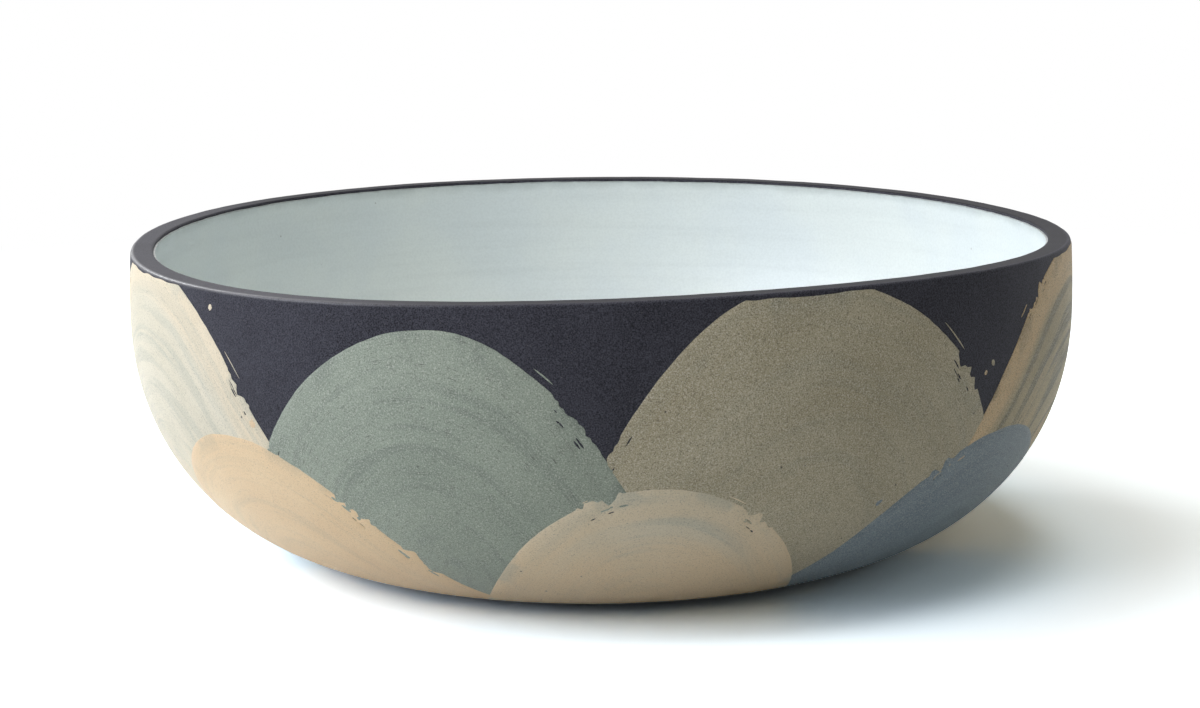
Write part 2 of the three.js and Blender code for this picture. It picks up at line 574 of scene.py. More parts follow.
@dataclass(frozen=True)
class ThrownWall:
    """The bowl's shape as thrown and trimmed, which the clay and all coats follow."""

    rim_radius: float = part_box("clay_body")[1].x
    height: float = 77.35 * MM
    shoulder_height: float = 62 * MM
    base_radius: float = 51.2 * MM
    fullness: float = 2.17
    lean_in: float = 0.5 * MM
    swells: Sequence[Swell] = (
        Swell(2, 1 * MM, math.radians(28)),
        Swell(3, 0.38 * MM, math.radians(18)),
    )
    trimming: float = 0.05 * MM
    trimming_turns: int = 3
    trimming_pitch: float = 9 * MM
    lower_steps: int = 400
    upper_steps: int = 80

    @cached_property
    def curve(self) -> np.ndarray:
        """The outer curve from base edge to rim.

        Returns:
            Rows of the run along it, its radius, its height, and its normal's two parts.
        """
        turn = np.linspace(0, math.pi / 2, self.lower_steps)
        power = 2 / self.fullness
        radius = self.base_radius + (self.rim_radius - self.base_radius) * np.sin(turn) ** power
        height = self.shoulder_height * (1 - np.cos(turn) ** power)
        share = np.linspace(0, 1, self.upper_steps)[1:]
        radius = np.append(radius, self.rim_radius - self.lean_in * share ** 2)
        height = np.append(height, self.shoulder_height + (self.height - self.shoulder_height) * share)
        run = np.append(0, np.cumsum(np.hypot(np.diff(radius), np.diff(height))))
        along_radius, along_height = np.gradient(radius, run), np.gradient(height, run)
        size = np.hypot(along_radius, along_height)
        return np.array([run, radius, height, along_height / size, -along_radius / size])

    @property
    def length(self) -> float:
        """Length of the outer curve from base edge to rim."""
        return float(self.curve[0, -1])

    def radius_at(self, height: np.ndarray) -> np.ndarray:
        """Outer radius at a height."""
        return np.interp(height, self.curve[2], self.curve[1])

    def run_at(self, height: np.ndarray) -> np.ndarray:
        """Run along the outer curve at a height."""
        return np.interp(height, self.curve[2], self.curve[0])

    def height_at(self, run: np.ndarray) -> np.ndarray:
        """Height at a run along the outer curve."""
        return np.interp(run, self.curve[0], self.curve[2])

    def lift(self, azimuth: np.ndarray, height: np.ndarray) -> np.ndarray:
        """How far the uneven rim carries a point up or down, which is less the lower it lies."""
        rise = sum(swell.height * np.cos(swell.count * (azimuth - swell.azimuth)) for swell in self.swells)
        return rise * np.clip(height / self.height, 0, None) ** 3

    def below_rim(self, graph: Graph, point: bpy.types.NodeSocket) -> Value:
        """How far below the uneven rim each point of a surface lies.

        Args:
            graph: the material's graph.
            point: the point on the surface, in millimetres.

        Returns:
            The distance, in millimetres.
        """
        azimuth = graph.azimuth(point)
        saddle, wave = (
            ((azimuth - swell.azimuth) * swell.count).cosine() * (swell.height / MM)
            for swell in self.swells
        )
        return saddle + wave + self.height / MM - graph.axis(point, (0, 0, 1))

    def place(self, azimuth: np.ndarray, radius: np.ndarray, height: np.ndarray) -> np.ndarray:
        """Puts points in space, with the rim's unevenness and the trimming marks.

        Args:
            azimuth: their directions from the bowl's axis.
            radius: their distances from it.
            height: their heights above the floor.

        Returns:
            The points.
        """
        ridges = self.trimming * np.sin(self.trimming_turns * azimuth + height / self.trimming_pitch)
        trimmed = radius + ridges * np.clip(radius / self.rim_radius, 0, 1)
        return np.stack([
            trimmed * np.sin(azimuth),
            -trimmed * np.cos(azimuth),
            height + self.lift(azimuth, height),
        ], -1)

    def outside(self, azimuth: np.ndarray, run: np.ndarray, out: np.ndarray) -> np.ndarray:
        """Points that stand a distance out from the outer wall."""
        radius, height, normal_r, normal_z = (np.interp(run, self.curve[0], row) for row in self.curve[1:])
        return self.place(azimuth, radius + normal_r * out, height + normal_z * out)


def new_piece(
    name: str, points: np.ndarray, faces: Sequence[Sequence[int]], sharp: float
) -> bpy.types.Object:
    """Makes a smooth-shaded mesh object.

    Args:
        name: its name.
        points: its vertices.
        faces: its faces, as lists of vertex numbers.
        sharp: the angle, in degrees, past which an edge stays sharp.

    Returns:
        The object.
    """
    mesh = bpy.data.meshes.new(name)
    mesh.from_pydata(points.tolist(), [], [list(map(int, face)) for face in faces])
    mesh.validate()
    mesh.shade_smooth()
    mesh.set_sharp_from_angle(angle=math.radians(sharp))
    piece = bpy.data.objects.new(name, mesh)
    bpy.context.scene.collection.objects.link(piece)
    return piece


def hand_in(piece: bpy.types.Object, node: str, material: bpy.types.Material) -> None:
    """Dresses a piece, lets it stand for its node and ride on the bowl's body.

    Args:
        piece: the piece.
        node: the CAD node that it stands for.
        material: its finish.
    """
    piece.data.materials.append(material)
    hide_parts(node)
    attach(piece, "root")
    log.info("%s: %d vertices, stands for %s", piece.name, len(piece.data.vertices), node)


def turned_faces(rings: int, turns: int) -> list[tuple[int, ...]]:
    """Faces of a shape turned from a profile whose first and last ring close in one point each.

    Args:
        rings: number of full rings between the two end points.
        turns: number of points in a ring.

    Returns:
        The faces, for vertices in the order first point, rings, last point.
    """
    faces: list[tuple[int, ...]] = []
    last = 1 + rings * turns
    for i in range(turns):
        after = (i + 1) % turns
        faces.append((0, 1 + after, 1 + i))
        for ring in range(rings - 1):
            low, high = 1 + ring * turns, 1 + (ring + 1) * turns
            faces.append((low + i, low + after, high + after, high + i))
        top = 1 + (rings - 1) * turns
        faces.append((top + i, top + after, last))
    return faces


@dataclass(frozen=True)
class Inside:
    """The bowl's inner surface: the wall moved in by its thickness, down to a level floor."""

    wall: ThrownWall
    wall_thickness: float = 6 * MM
    lip_thickness: float = 5.4 * MM
    taper_start: float = 0.75
    floor: float = 7 * MM
    cove: float = 1.3 * MM
    rise: float = 0.25
    first_radius: float = 0.4 * MM
    floor_steps: int = 90

    def profile(self, out: float, steps: int) -> np.ndarray:
        """The inner curve from near the centre up to the rim, moved off the clay by a distance.

        Args:
            out: distance into the bowl.
            steps: number of points.

        Returns:
            Rows of radius and height.
        """
        run, radius, height, normal_r, normal_z = self.wall.curve
        share = run / self.wall.length
        thinning = np.clip((share - self.taper_start) / (1 - self.taper_start), 0, 1)
        depth = self.wall_thickness + (self.lip_thickness - self.wall_thickness) * thinning + out
        inner_r, inner_z = radius - normal_r * depth, height - normal_z * depth
        flat_r = np.linspace(self.first_radius, inner_r[0], self.floor_steps)[:-1]
        flat_z = inner_z[0] - self.rise * (inner_r[0] - flat_r)
        inner_r, inner_z = np.append(flat_r, inner_r), np.append(flat_z, inner_z)
        floor = self.floor + out
        inner_z = floor + self.cove * np.logaddexp(0, (inner_z - floor) / self.cove)
        length = np.append(0, np.cumsum(np.hypot(np.diff(inner_r), np.diff(inner_z))))
        at = np.linspace(0, length[-1], steps)
        return np.stack([np.interp(at, length, inner_r), np.interp(at, length, inner_z)], -1)


@dataclass
class ClayBody:
    """The thrown body: underside, standing ring, outer wall, lip and inside."""

    wall: ThrownWall
    inside: Inside
    finish: ClayFinish = field(default_factory=ClayFinish)
    turns: int = 360
    ring_width: float = 14 * MM
    recess: float = 1.2 * MM
    recess_from: float = 2 * MM
    recess_clear: float = 4 * MM
    slope_width: float = 3.5 * MM
    ring_clear: float = 2 * MM
    edge_clear: float = 1 * MM
    outer_rounding: float = 0.7 * MM
    inner_rounding: float = 0.5 * MM
    lip_clear: float = 0.2 * MM
    recess_steps: int = 12
    slope_steps: int = 9
    ring_steps: int = 6
    outer_steps: int = 90
    outer_rounding_steps: int = 9
    lip_steps: int = 7
    inner_rounding_steps: int = 6
    inner_steps: int = 110
    lip_reach: float = 2.5 * MM
    lip_unevenness: float = 0.12 * MM
    lip_waves: Sequence[tuple[float, float]] = ((0.5, 0.5), (0.12, 0.3), (0.04, 0.2))
    sharp_angle: float = 60
    seed: int = 11

    def underside(self) -> list[np.ndarray]:
        """Half section of the underside: its recess, the slope down from it and the standing ring.

        Returns:
            The three stretches, each as rows of radius and height.
        """
        inner, outer = self.wall.base_radius - self.ring_width, self.wall.base_radius
        recess = np.linspace(self.recess_from, inner - self.recess_clear, self.recess_steps)
        share = np.linspace(0, 1, self.slope_steps)
        slope = inner - self.slope_width + self.slope_width * share
        ring = np.linspace(inner + self.ring_clear, outer - self.edge_clear, self.ring_steps)
        return [
            np.stack([recess, np.full(len(recess), self.recess)], -1),
            np.stack([slope, self.recess * (1 - eased(share))], -1),
            np.stack([ring, np.zeros(len(ring))], -1),
        ]

    def profile(self) -> np.ndarray:
        """Half section of the body, from the centre of the underside round to the centre of the floor.

        Returns:
            Rows of radius and height.
        """
        wall = self.wall
        run = np.linspace(0, wall.length - self.outer_rounding, self.outer_steps)
        outer = np.stack([np.interp(run, wall.curve[0], wall.curve[1]), wall.height_at(run)], -1)
        rim = wall.rim_radius - wall.lean_in
        lip = self._rounding(rim - self.outer_rounding, self.outer_rounding, 0, self.outer_rounding_steps)
        inner_edge = rim - self.inside.lip_thickness + self.inner_rounding
        top_r = np.linspace(rim - self.outer_rounding, inner_edge, self.lip_steps)[1:-1]
        top = np.stack([top_r, np.full(len(top_r), wall.height)], -1)
        inner_lip = self._rounding(inner_edge, self.inner_rounding, 90, self.inner_rounding_steps)
        inner = self.inside.profile(0, self.inner_steps)[::-1]
        inner = inner[inner[:, 1] < wall.height - self.inner_rounding - self.lip_clear]
        return np.concatenate([*self.underside(), outer, lip, top, inner_lip, inner])

    def _rounding(self, radius: float, size: float, first: float, steps: int) -> np.ndarray:
        """Quarter round of the lip's section, turning anticlockwise.

        Args:
            radius: how far its centre is from the bowl's axis.
            size: its own radius.
            first: the direction that it starts in, in degrees.
            steps: number of points.

        Returns:
            Rows of radius and height.
        """
        angle = np.radians(first + np.linspace(0, 90, steps))
        height = self.wall.height - size
        return np.stack([radius + size * np.cos(angle), height + size * np.sin(angle)], -1)

    def build(self) -> bpy.types.Object:
        """Turns the section into the body, with a slightly uneven lip.

        Returns:
            The object.
        """
        profile = self.profile()
        azimuth = np.linspace(0, FULL_TURN, self.turns, endpoint=False)
        uneven = uneven_ring(np.random.default_rng(self.seed), azimuth, self.lip_waves)
        near_lip = np.clip((profile[:, 1] - self.wall.height + self.lip_reach) / self.lip_reach, 0, 1)
        radius = profile[:, :1] + near_lip[:, None] * uneven * self.lip_unevenness
        height = profile[:, 1:] - near_lip[:, None] * np.abs(uneven) * self.lip_unevenness
        points = self.wall.place(np.broadcast_to(azimuth, radius.shape), radius, height)
        points = np.concatenate([
            [[0, 0, self.recess]], points.reshape(-1, 3), [[0, 0, profile[-1, 1]]]
        ])
        faces = turned_faces(len(profile), self.turns)
        return new_piece("clay_body_thrown", points, faces, self.sharp_angle)

    def make(self) -> None:
        """Builds and dresses the body."""
        hand_in(self.build(), "clay_body", self.finish.material(self.wall))


@dataclass
class GlazeLining:
    """The glaze inside: an even skin that ends just short of the lip's edge in a wavering line."""

    wall: ThrownWall
    inside: Inside
    finish: GlazeFinish = field(default_factory=GlazeFinish)
    turns: int = 480
    front_steps: int = 150
    back_steps: int = 40
    thickness: float = 0.35 * MM
    sunk: float = 0.12 * MM
    line_below_rim: float = 0.28 * MM
    line_waver: float = 0.13 * MM
    bead: float = 0.16 * MM
    bead_height: float = 0.45 * MM
    bead_spread: float = 0.6
    edge_rounding: float = 0.5 * MM
    follows_line: float = 12 * MM
    line_waves: Sequence[tuple[float, float]] = ((0.35, 0.35), (0.07, 0.4), (0.025, 0.45))
    sharp_angle: float = 70
    seed: int = 23

    def line(self, azimuth: np.ndarray) -> np.ndarray:
        """Height of the skin's upper edge at each azimuth."""
        uneven = uneven_ring(np.random.default_rng(self.seed), azimuth, self.line_waves)
        return self.wall.height - self.line_below_rim - self.line_waver * (1 + uneven)

    def rows(
        self, profile: np.ndarray, edge: np.ndarray, thick: float
    ) -> tuple[np.ndarray, np.ndarray]:
        """One face of the skin, drawn up to its wavering edge.

        Args:
            profile: rows of radius and height.
            edge: height of the upper edge at each azimuth.
            thick: how far this face stands off the one behind, which its rounded edge makes up.

        Returns:
            Radius and height of its points, a row for each row of the profile.
        """
        start = self.wall.height - self.follows_line
        above = np.clip(profile[:, 1:] - start, 0, None) / (self.wall.height - start)
        height = profile[:, 1:] + above * (edge - self.wall.height)
        below = (edge - height) / self.edge_rounding
        rounded = np.clip(1 - below, 0, 1) ** 3
        from_bead = (edge - height - self.bead_height) / (self.bead_spread * self.bead_height)
        bead = self.bead * np.exp(-from_bead ** 2) * (thick > 0)
        return profile[:, :1] + (thick + self.sunk * (thick > 0)) * rounded - bead, height

    def build(self) -> bpy.types.Object:
        """Makes the skin, with a rounded upper edge.

        Returns:
            The object.
        """
        azimuth = np.linspace(0, FULL_TURN, self.turns, endpoint=False)
        edge = self.line(azimuth)
        front = self.inside.profile(self.thickness, self.front_steps)
        back = self.inside.profile(-self.sunk, self.back_steps)
        front_radius, front_height = self.rows(front, edge, self.thickness)
        back_radius, back_height = self.rows(back[::-1], edge, 0)
        radius = np.concatenate([front_radius, np.broadcast_to(back_radius, back_height.shape)])
        height = np.concatenate([front_height, back_height])
        points = self.wall.place(np.broadcast_to(azimuth, radius.shape), radius, height)
        points = np.concatenate([
            [[0, 0, front[0, 1]]], points.reshape(-1, 3), [[0, 0, back[0, 1]]]
        ])
        faces = [face[::-1] for face in turned_faces(self.front_steps + self.back_steps, self.turns)]
        return new_piece("liner_glaze_skin", points, faces, self.sharp_angle)

    def make(self) -> None:
        """Builds and dresses the lining."""
        hand_in(self.build(), "liner_glaze", self.finish.material(self.wall))


def inside_outline(points: np.ndarray, outline: np.ndarray) -> np.ndarray:
    """Which points lie inside a closed outline.

    Args:
        points: the points, in a plane.
        outline: the outline's own points.

    Returns:
        True for each point that lies inside.
    """
    x, y = points[:, :1], points[:, 1:]
    x1, y1 = outline[:, 0], outline[:, 1]
    x2, y2 = np.roll(x1, -1), np.roll(y1, -1)
    crosses = (y1 > y) != (y2 > y)
    rise = np.where(y2 == y1, 1, y2 - y1)
    left = x < x1 + (y - y1) * (x2 - x1) / rise
    return np.count_nonzero(crosses & left, axis=1) % 2 == 1


@dataclass(frozen=True)
class Torn:
    """A stretch of a coat's edge that the lifting brush tore: its middle, half length and depth."""

    turn: float
    reach: float
    depth: float


@dataclass
class Coat:
    """One rounded coat of slip, laid like a hill with its feet at the base of the bowl."""

    node: str
    slip: Slip
    azimuth: float
    half_width: float
    top: float
    centre_height: float
    level: int
    seed: int

    lower_line = 2.6 * MM
    line_below_rim = 1 * MM
    unroll_radius = 100 * MM
    widest_sine = 0.98
    edge_step = 0.25 * MM
    smooth_step = 6 * edge_step
    first_height = 0.1 * MM
    level_height = 0.03 * MM
    edge_height = 0.45
    edge_rounding = 0.35 * MM
    sunk = 0.1 * MM
    overlap = 2.8 * MM
    mesh_spacing = 2.1 * MM
    mesh_clear = 0.9 * MM
    inset_clear = 0.9
    merge_distance = 1e-5
    sharp_angle = 50

    # Pairs of a depth and the typical distance between turns, in millimetres.
    wavers = ((0.9, 38), (0.22, 9), (0.06, 1.7))
    lower_waver = (0.5, 6)
    upper_waver = (0.25, 5)

    # Added to the seed, so that each use has random numbers of its own.
    torn_draws = 300
    line_draws = 500
    flick_draws = 700
    skip_draws = 900

    # Ranges that random numbers are drawn from. Lengths are in millimetres.
    torn_count = (2, 4)
    torn_turn = (0.04, 0.96)
    torn_reach = (3.5, 9)
    torn_depth = (0.6, 1.7)
    patch_waver = (0.7, 1.3)
    skip_length = (0.5, 2.6)
    skip_width = (0.22, 0.5)
    skip_inwards = (1.6, 3.2)
    flick_along = (0.8, 1.5)
    flick_length = (3, 8)
    flick_width = (0.2, 0.34)
    flick_out = (1.4, 2)
    drop_count = (0, 2)
    drop_turn = (0.1, 0.9)
    drop_out = (3, 8)
    drop_size = (0.8, 1.9)
    drop_stretch = (0.7, 1.5)

    tear_fullness = 0.4
    tear_inwards = 0.3
    coarse_tear = 0.8
    tear_points = (0.9 * MM, 2.6 * MM)
    patch_points = 12
    skips_in_tear = 5
    clear_of_base = 1 * MM
    clear_of_lip = 3 * MM

    @property
    def half_rise(self) -> float:
        """How far the hill rises above its centre."""
        return self.top - self.centre_height

    @property
    def around(self) -> float:
        """Rough length of the hill's whole edge."""
        return FULL_TURN * math.sqrt((self.half_width ** 2 + self.half_rise ** 2) / 2)

    @cached_property
    def torn(self) -> list[Torn]:
        """The torn stretches of the edge, two or three on the part that shows."""
        rng = np.random.default_rng(self.seed + self.torn_draws)
        return [
            Torn(
                rng.uniform(*self.torn_turn) * math.pi,
                rng.uniform(*self.torn_reach) * MM,
                rng.uniform(*self.torn_depth) * MM,
            )
            for _ in range(rng.integers(*self.torn_count))
        ]

    def unrolled(self, wall: ThrownWall, across: np.ndarray, height: np.ndarray) -> np.ndarray:
        """Puts the hill's own drawing on the unrolled wall.

        Args:
            wall: the wall that it lies on.
            across: distance of each point across the hill.
            height: height of each point.

        Returns:
            The points, as rows of distance round the wall and run along its curve.
        """
        radius = wall.radius_at(height)
        sine = np.clip(across / radius, -self.widest_sine, self.widest_sine)
        return np.stack([(self.azimuth + np.arcsin(sine)) * self.unroll_radius, wall.run_at(height)], -1)

    def outline(self, wall: ThrownWall, grow: float = 0, ragged: bool = True) -> np.ndarray:
        """The coat's edge on the unrolled wall.

        Args:
            wall: the wall that it lies on.
            grow: how much larger it is all round; less than 0 is smaller.
            ragged: whether the edge has the brush's unevenness.

        Returns:
            Its points, anticlockwise.
        """
        steps = round(self.around / (self.edge_step if ragged else self.smooth_step))
        turn = np.linspace(0, FULL_TURN, steps, endpoint=False)
        at = turn / FULL_TURN * self.around
        out = np.full(steps, grow)
        if ragged:
            out = out + self.unevenness(at)
        across = (self.half_width + out) * np.cos(turn)
        height = self.centre_height + (self.half_rise + out) * np.sin(turn)
        rng = np.random.default_rng(self.seed + self.line_draws)
        low = self.lower_line + self._stray(rng, at, *self.lower_waver)
        high = wall.height - self.line_below_rim + self._stray(rng, at, *self.upper_waver)
        return self.unrolled(wall, across, np.clip(height, low, high))

    def _stray(self, rng: np.random.Generator, at: np.ndarray, depth: float, wave: float) -> np.ndarray:
        """A waver along the edge, from its depth and the distance between its turns in millimetres."""
        return depth * MM * waver(rng, at, self.around, wave * MM)

    def unevenness(self, at: np.ndarray) -> np.ndarray:
        """How far the brushed edge strays outwards: a slow waver, and points where it is torn.

        Args:
            at: places along the edge.

        Returns:
            The distance at each place.
        """
        rng = np.random.default_rng(self.seed)
        out = sum(self._stray(rng, at, depth, wave) for depth, wave in self.wavers)
        tearing = np.zeros(len(at))
        for place in self.torn:
            middle = place.turn / FULL_TURN * self.around
            away = np.abs((at - middle + self.around / 2) % self.around - self.around / 2)
            torn = place.depth * np.clip(1 - away / place.reach, 0, 1) ** self.tear_fullness
            tearing = np.maximum(tearing, torn)
        fine, coarse = (waver(rng, at, self.around, wave, pointed=True) for wave in self.tear_points)
        return out + tearing * (fine + self.coarse_tear * coarse - self.tear_inwards)

    def patch(
        self, wall: ThrownWall, rng: np.random.Generator, turn: float, out: float, size: tuple[float, float]
    ) -> np.ndarray:
        """Edge of a small patch that lies along the brush's sweep.

        Args:
            wall: the wall that it lies on.
            rng: where its unevenness comes from.
            turn: where along the hill's arc it lies.
            out: how far outside the hill's edge it lies; less than 0 is inside.
            size: its length along the sweep and its width.

        Returns:
            Its points, anticlockwise.
        """
        steps = np.linspace(0, FULL_TURN, self.patch_points, endpoint=False)
        along = turn + np.cos(steps) * size[0] / 2 / self.half_width
        side = out + np.sin(steps) * size[1] / 2 * rng.uniform(*self.patch_waver, self.patch_points)
        across = (self.half_width + side) * np.cos(along)
        height = self.centre_height + (self.half_rise + side) * np.sin(along)
        return self.unrolled(wall, across, height)

    def on_wall(self, wall: ThrownWall, patches: Sequence[np.ndarray]) -> list[np.ndarray]:
        """Sorts out the patches that reach the base or the lip.

        Args:
            wall: the wall that they lie on.
            patches: the patches, on the unrolled wall.

        Returns:
            Those that lie clear of both.
        """
        low = float(wall.run_at(self.lower_line + self.clear_of_base))
        high = float(wall.run_at(wall.height - self.clear_of_lip))
        return [patch for patch in patches if patch[:, 1].min() > low and patch[:, 1].max() < high]

    def skips(self, wall: ThrownWall) -> list[np.ndarray]:
        """Small bare places just inside the torn stretches, where dry bristles left no slip.

        Args:
            wall: the wall that they lie on.

        Returns:
            Their edges on the unrolled wall.
        """
        rng = np.random.default_rng(self.seed + self.skip_draws)
        patches = []
        for place in self.torn:
            for _ in range(self.skips_in_tear):
                turn = place.turn + rng.uniform(-1, 1) * place.reach / self.half_width
                size = (rng.uniform(*self.skip_length) * MM, rng.uniform(*self.skip_width) * MM)
                inwards = rng.uniform(*self.skip_inwards) * MM
                patches.append(self.patch(wall, rng, turn, -inwards, size))
        return self.on_wall(wall, patches)

    def flicks(self, wall: ThrownWall) -> list[np.ndarray]:
        """Slivers that single bristles left beside the torn stretches, and at most one fallen drop.

        Args:
            wall: the wall that they lie on.

        Returns:
            Their edges on the unrolled wall.
        """
        rng = np.random.default_rng(self.seed + self.flick_draws)
        patches = []
        for place in self.torn:
            turn = place.turn + rng.uniform(*self.flick_along) * place.reach / self.half_width
            size = (rng.uniform(*self.flick_length) * MM, rng.uniform(*self.flick_width) * MM)
            patches.append(self.patch(wall, rng, turn, rng.uniform(*self.flick_out) * MM, size))
        for _ in range(rng.integers(*self.drop_count)):
            turn, out = rng.uniform(*self.drop_turn) * math.pi, rng.uniform(*self.drop_out) * MM
            size = rng.uniform(*self.drop_size) * MM
            stretched = size * rng.uniform(*self.drop_stretch)
            patches.append(self.patch(wall, rng, turn, out, (size, stretched)))
        return self.on_wall(wall, patches)

    def build(self, wall: ThrownWall, later: Sequence["Coat"]) -> bpy.types.Object:
        """Makes the coat as a thin solid that slides a little way under the coats laid after it.

        Args:
            wall: the wall that it lies on.
            later: the coats that cover it in part.

        Returns:
            The object.
        """
        islands = [self.outline(wall), *self.flicks(wall)]
        gaps = self.skips(wall) + [coat.outline_near(self, wall) for coat in later]
        loops = [*islands, *gaps]
        flat = np.concatenate(loops)
        edges, start = [], 0
        for loop in loops:
            count = len(loop)
            edges += [(start + i, start + (i + 1) % count) for i in range(count)]
            start += count

        def covered(points: np.ndarray) -> np.ndarray:
            """Which points of the unrolled wall belong to this coat.

            Args:
                points: the points.

            Returns:
                True for each point that does.
            """
            kept = np.any([inside_outline(points, island) for island in islands], axis=0)
            for gap in gaps:
                kept &= ~inside_outline(points, gap)
            return kept

        ring = self._inset(flat, loops)
        low, high = islands[0].min(0), islands[0].max(0)
        columns, rows = np.meshgrid(
            np.arange(low[0], high[0], self.mesh_spacing),
            np.arange(low[1], high[1], self.mesh_spacing * math.sqrt(0.75)),
        )
        columns = columns + (np.arange(rows.shape[0]) % 2)[:, None] * self.mesh_spacing / 2
        grid = np.stack([columns.ravel(), rows.ravel()], -1)
        grid = grid[covered(grid)]
        grid = self._clear_of(grid, np.concatenate([flat, ring]), self.mesh_clear)
        plane = np.concatenate([flat, ring, grid])
        made = delaunay_2d_cdt([Vector(p) for p in plane / MM], edges, [], 0, self.merge_distance, False)
        plane = np.array([tuple(p) for p in made[0]]) * MM
        triangles = np.array([face for face in made[2] if len(face) == 3])
        triangles = triangles[covered(plane[triangles].mean(1))]
        return self._thicken(wall, plane, triangles)

    def outline_near(self, other: "Coat", wall: ThrownWall) -> np.ndarray:
        """This coat's smooth, shrunk edge, turned by whole turns to lie next to another coat.

        Args:
            other: the other coat.
            wall: the wall that both lie on.

        Returns:
            The edge's points on the unrolled wall.
        """
        edge = self.outline(wall, grow=-self.overlap, ragged=False)
        turns = round((other.azimuth - self.azimuth) / FULL_TURN)
        return edge + np.array([turns * FULL_TURN * self.unroll_radius, 0])

    @staticmethod
    def _clear_of(points: np.ndarray, others: np.ndarray, distance: float) -> np.ndarray:
        """The points that keep a distance from all the others.

        Args:
            points: the points to choose from.
            others: the points to keep away from.
            distance: how far.

        Returns:
            The chosen points.
        """
        tree = KDTree(len(others))
        for i, (x, y) in enumerate(others):
            tree.insert((x, y, 0), i)
        tree.balance()
        far = [tree.find((x, y, 0))[2] >= distance for x, y in points]
        return points[np.array(far, bool)]

    def _inset(self, flat: np.ndarray, loops: Sequence[np.ndarray]) -> np.ndarray:
        """Points just inside each edge, where the coat reaches its full height.

        Args:
            flat: the points of all edges.
            loops: the same points, edge by edge.

        Returns:
            The points.
        """
        rings = []
        for loop in loops:
            along = np.roll(loop, -1, 0) - np.roll(loop, 1, 0)
            size = np.maximum(np.hypot(along[:, 0], along[:, 1]), 1e-9)[:, None]
            side = np.stack([-along[:, 1], along[:, 0]], -1) / size * self.edge_rounding
            rings += [loop + side, loop - side]
        points = self._clear_of(np.concatenate(rings), flat, self.edge_rounding * self.inset_clear)
        cells = np.floor(points / self.edge_rounding).astype(int)
        _, kept = np.unique(cells, axis=0, return_index=True)
        return points[np.sort(kept)]

    def _thicken(
        self, wall: ThrownWall, plane: np.ndarray, triangles: np.ndarray
    ) -> bpy.types.Object:
        """Gives the flat pattern its thickness on the wall, with a softened edge.

        Args:
            wall: the wall that it lies on.
            plane: its points on the unrolled wall.
            triangles: its triangles, as rows of point numbers.

        Returns:
            The object.
        """
        used, triangles = np.unique(triangles, return_inverse=True)
        triangles, plane = triangles.reshape(-1, 3), plane[used]
        pairs = np.concatenate([triangles[:, [0, 1]], triangles[:, [1, 2]], triangles[:, [2, 0]]])
        directed = set(map(tuple, pairs.tolist()))
        border = [pair for pair in directed if (pair[1], pair[0]) not in directed]
        full = self.first_height + self.level * self.level_height
        height = np.full(len(plane), full)
        height[np.unique(np.array(border))] = full * self.edge_height
        azimuth, run = plane[:, 0] / self.unroll_radius, plane[:, 1]
        top = wall.outside(azimuth, run, height)
        bottom = wall.outside(azimuth, run, np.full(len(plane), -self.sunk))
        count = len(plane)
        faces = triangles.tolist() + (triangles[:, ::-1] + count).tolist()
        faces += [(b, a, a + count, b + count) for a, b in sorted(border)]
        points = np.concatenate([top, bottom])
        return new_piece(f"{self.node}_brushed", points, faces, self.sharp_angle)


class Sweep:
    """The path of the brush over one coat, as values over its surface, in millimetres."""

    wander_size = 24
    wander_depth = 2.4
    seed_spacing = 3.7

    def __init__(self, graph: Graph, point: bpy.types.NodeSocket, coat: Coat) -> None:
        """Works out where each point lies on the coat's arcs.

        Args:
            graph: the material's graph.
            point: the point on the surface, in millimetres.
            coat: the coat that was brushed.
        """
        self.graph = graph
        self.reach = coat.half_width / MM
        self.seed = coat.seed
        sideways = (math.cos(coat.azimuth) / self.reach, math.sin(coat.azimuth) / self.reach, 0)
        across = graph.axis(point, sideways)
        self.height = graph.axis(point, (0, 0, 1))
        up = (self.height - coat.centre_height / MM) / (coat.half_rise / MM)
        self.share = (across * across + up * up).root()
        self.turn = across.angle_to(up)
        self.wander = graph.noise(point, self.wander_size, 1) * self.wander_depth

    def noise(self, width: float, length: float, detail: float = 2) -> Value:
        """Noise drawn out along the brush's sweep, in streaks of a width and length.

        Args:
            width: the streaks' width, in millimetres.
            length: their length, in millimetres.
            detail: how much finer noise is laid over it.

        Returns:
            The noise.
        """
        place = self.graph.vector(
            (self.share * self.reach + self.wander) / width,
            self.turn * self.reach / length,
            self.seed * self.seed_spacing + length,
        )
        return self.graph.noise(place, 1, detail)


